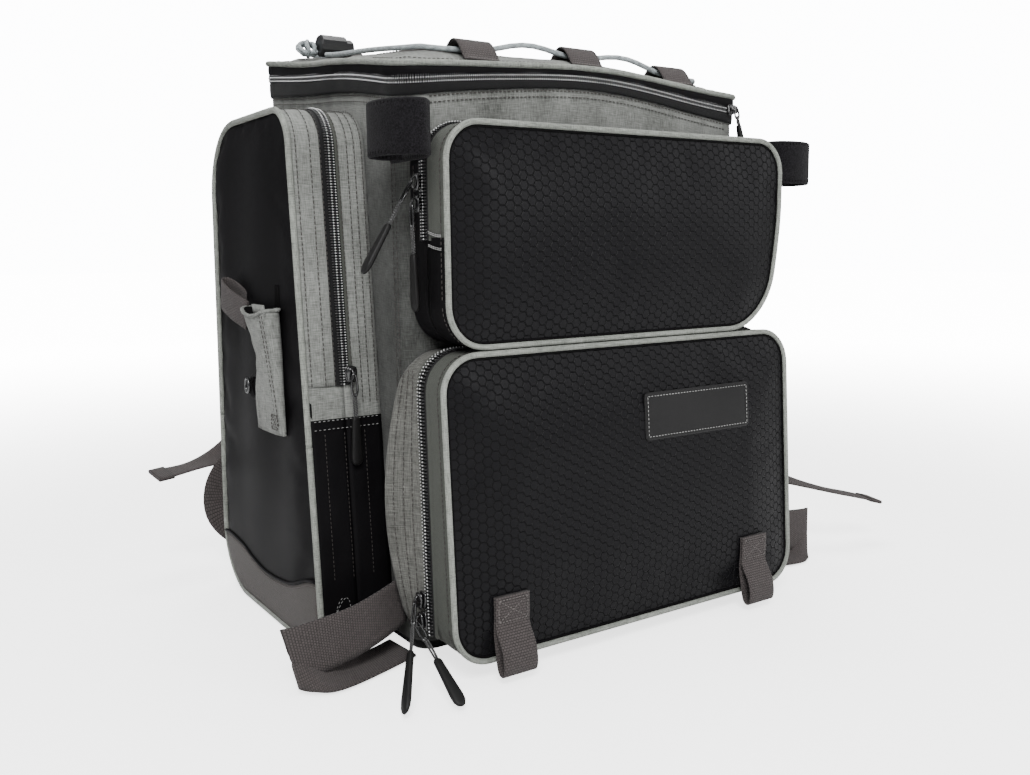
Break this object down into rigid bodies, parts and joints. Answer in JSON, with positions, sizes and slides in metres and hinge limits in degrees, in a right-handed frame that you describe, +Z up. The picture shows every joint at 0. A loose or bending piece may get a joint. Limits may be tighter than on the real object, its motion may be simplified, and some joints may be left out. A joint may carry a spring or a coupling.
{
  "type": "tackle backpack",
  "caption": "Boxy fabric fishing backpack with a zipped lid, front and side pockets, rod straps, a laced cord and padded shoulder straps.",
  "frame": {"origin": "middle of the base, on the ground", "axes": "+Z up, -Y towards the front pockets, +X to the right as seen from the front"},
  "size_m": [0.6605, 0.4307, 0.521],
  "materials": {
    "heather": "heather grey woven polyester",
    "coated": "black coated nylon",
    "hex": "black fabric embossed with a hexagon grid, satin",
    "webbing": "ribbed webbing",
    "piping": "pale grey piping",
    "mesh": "air mesh over foam",
    "hook_loop": "hook-and-loop tape",
    "zip": "coil zip",
    "plastic": "moulded plastic",
    "rubber": "soft moulded rubber",
    "slider": "black painted cast metal",
    "bungee": "braided elastic cord with dark flecks",
    "board": "plastic sheet",
    "spring": "spring wire"
  },
  "bodies": {
    "pack": {"main_shell": "heather", "base_panel": "coated", "lid_zip": "coated", "back_stiffener": "board", "back_panel": "mesh", "side_left_pocket": "heather", "side_right_pocket": "heather", "top_pocket_gusset": "heather", "low_pocket_gusset": "heather", "top_zip": "zip", "low_zip": "zip"},
    "lid": {"lid_shell": "heather", "lid_piping": "piping", "lid_loops": "webbing", "bungee_cord": "bungee", "cord_lock_barrel": "plastic", "cord_lock_spring": "spring"},
    "cord_lock_button": {"cord_lock_plunger": "plastic"},
    "handle": {"carry_handle": "webbing"},
    "lid_zip_slider": {"lid_slider": "slider"},
    "lid_zip_pull": {"lid_pull": "rubber"},
    "top_cover": {"top_pocket_cover": "hex", "top_pocket_piping": "piping"},
    "low_cover": {"low_pocket_cover": "hex", "low_pocket_piping": "piping", "label_patch": "rubber", "lash_loop_left": "webbing", "lash_loop_right": "webbing"},
    "side_left_flap": {"side_left_cover": "coated", "side_left_piping": "piping", "tool_sleeve": "heather", "tool_loop": "webbing"},
    "side_right_flap": {"side_right_cover": "coated", "side_right_piping": "piping"},
    "harness": {"shoulder_strap_left": "mesh", "shoulder_strap_right": "mesh", "ladder_lock_left": "plastic", "ladder_lock_right": "plastic", "strap_web_left": "webbing", "strap_web_right": "webbing"},
    "sternum_strap": {"sternum_web_left": "webbing", "sternum_web_right": "webbing", "sternum_buckle_socket": "plastic"},
    "sternum_prong": {"sternum_buckle_prong": "plastic"},
    "top_slider_upper": {"top_slider_upper": "slider"},
    "top_pull_upper": {"top_pull_upper": "rubber"},
    "top_slider_lower": {"top_slider_lower": "slider"},
    "top_pull_lower": {"top_pull_lower": "rubber"},
    "low_slider_upper": {"low_slider_upper": "slider"},
    "low_pull_upper": {"low_pull_upper": "rubber"},
    "low_slider_lower": {"low_slider_lower": "slider"},
    "low_pull_lower": {"low_pull_lower": "rubber"},
    "side_left_slider": {"side_left_slider": "slider"},
    "side_left_pull": {"side_left_pull": "rubber"},
    "rod_strap_left": {"rod_strap_left": "hook_loop"},
    "rod_butt_loop_left": {"rod_butt_loop_left": "webbing"},
    "side_right_slider": {"side_right_slider": "slider"},
    "side_right_pull": {"side_right_pull": "rubber"},
    "rod_strap_right": {"rod_strap_right": "hook_loop"},
    "rod_butt_loop_right": {"rod_butt_loop_right": "webbing"}
  },
  "joints": [
    {"name": "lid_hinge", "type": "hinge", "parent": "pack", "child": "lid", "pos_m": [0, 0.138, 0.4687], "axis": [-1, 0, 0], "range_deg": [0, 86]},
    {"name": "handle_flop", "type": "hinge", "parent": "lid", "child": "handle", "pos_m": [0, 0.1455, 0.4717], "axis": [-1, 0, 0], "range_deg": [0, 12]},
    {"name": "cord_lock_press", "type": "slide", "parent": "lid", "child": "cord_lock_button", "axis": [-1, 0, 0], "range_m": [0, 0.006], "stiffness_N_per_m": 200, "springref_m": -0.004},
    {"name": "lid_slider_travel", "type": "slide", "parent": "pack", "child": "lid_zip_slider", "axis": [-1, 0, 0], "range_m": [0, 0.25]},
    {"name": "lid_pull_swing", "type": "hinge", "parent": "lid_zip_slider", "child": "lid_zip_pull", "pos_m": [0.156, -0.147, 0.4315], "axis": [-1, 0, 0], "range_deg": [0, 80]},
    {"name": "top_cover_hinge", "type": "hinge", "parent": "pack", "child": "top_cover", "pos_m": [0, -0.188, 0.242], "axis": [1, 0, 0], "range_deg": [0, 36]},
    {"name": "low_cover_hinge", "type": "hinge", "parent": "pack", "child": "low_cover", "pos_m": [0, -0.203, 0.015], "axis": [1, 0, 0], "range_deg": [0, 75]},
    {"name": "top_slider_upper_travel", "type": "slide", "parent": "pack", "child": "top_slider_upper", "axis": [0, 0, 1], "range_m": [0, 0.003]},
    {"name": "top_pull_upper_swing", "type": "hinge", "parent": "top_slider_upper", "child": "top_pull_upper", "pos_m": [-0.1758, -0.1555, 0.359], "axis": [0, 1, 0], "range_deg": [-10, 50]},
    {"name": "top_slider_lower_travel", "type": "slide", "parent": "pack", "child": "top_slider_lower", "axis": [0, 0, 1], "range_m": [-0.038, 0]},
    {"name": "top_pull_lower_swing", "type": "hinge", "parent": "top_slider_lower", "child": "top_pull_lower", "pos_m": [-0.1758, -0.1555, 0.344], "axis": [0, 1, 0], "range_deg": [0, 25]},
    {"name": "low_slider_upper_travel", "type": "slide", "parent": "pack", "child": "low_slider_upper", "axis": [0, 0.0314, 0.9995], "range_m": [0, 0.045]},
    {"name": "low_pull_upper_swing", "type": "hinge", "parent": "low_slider_upper", "child": "low_pull_upper", "pos_m": [-0.18641, -0.16521, 0.056], "axis": [0, 1, 0], "range_deg": [0, 50]},
    {"name": "low_slider_lower_travel", "type": "slide", "parent": "pack", "child": "low_slider_lower", "axis": [0, 0.0314, 0.9995], "range_m": [-0.006, 0]},
    {"name": "low_pull_lower_swing", "type": "hinge", "parent": "low_slider_lower", "child": "low_pull_lower", "pos_m": [-0.18619, -0.16568, 0.041], "axis": [-1, 0, 0], "range_deg": [0, 40]},
    {"name": "side_left_flap_hinge", "type": "hinge", "parent": "pack", "child": "side_left_flap", "pos_m": [-0.2336, 0, 0.1595], "axis": [0, -1, 0], "range_deg": [0, 75]},
    {"name": "side_left_slider_travel", "type": "slide", "parent": "pack", "child": "side_left_slider", "axis": [0, 0.0745, 0.9972], "range_m": [0, 0.13]},
    {"name": "side_left_pull_swing", "type": "hinge", "parent": "side_left_slider", "child": "side_left_pull", "pos_m": [-0.1955, -0.09518, 0.2175], "axis": [-1, 0, 0], "range_deg": [0, 80]},
    {"name": "rod_strap_left_swing", "type": "hinge", "parent": "pack", "child": "rod_strap_left", "pos_m": [-0.1722, -0.1215, 0.388], "axis": [0, 0, -1], "range_deg": [0, 35]},
    {"name": "rod_butt_loop_left_swing", "type": "hinge", "parent": "pack", "child": "rod_butt_loop_left", "pos_m": [-0.1735, -0.126, 0.046], "axis": [0, 0, -1], "range_deg": [0, 12]},
    {"name": "side_right_flap_hinge", "type": "hinge", "parent": "pack", "child": "side_right_flap", "pos_m": [0.2336, 0, 0.1595], "axis": [0, 1, 0], "range_deg": [0, 75]},
    {"name": "side_right_slider_travel", "type": "slide", "parent": "pack", "child": "side_right_slider", "axis": [0, 0.0745, 0.9972], "range_m": [0, 0.13]},
    {"name": "side_right_pull_swing", "type": "hinge", "parent": "side_right_slider", "child": "side_right_pull", "pos_m": [0.1955, -0.09518, 0.2175], "axis": [-1, 0, 0], "range_deg": [0, 80]},
    {"name": "rod_strap_right_swing", "type": "hinge", "parent": "pack", "child": "rod_strap_right", "pos_m": [0.1722, -0.1215, 0.388], "axis": [0, 0, 1], "range_deg": [0, 35]},
    {"name": "rod_butt_loop_right_swing", "type": "hinge", "parent": "pack", "child": "rod_butt_loop_right", "pos_m": [0.1735, -0.126, 0.046], "axis": [0, 0, 1], "range_deg": [0, 12]},
    {"name": "harness_swing", "type": "hinge", "parent": "pack", "child": "harness", "pos_m": [0, 0.143, 0.434], "axis": [1, 0, 0], "range_deg": [0, 8]},
    {"name": "sternum_height", "type": "slide", "parent": "harness", "child": "sternum_strap", "axis": [0, 0, 1], "range_m": [-0.03, 0.03]},
    {"name": "sternum_release", "type": "slide", "parent": "sternum_strap", "child": "sternum_prong", "axis": [1, 0, 0], "range_m": [0, 0.022]}
  ]
}
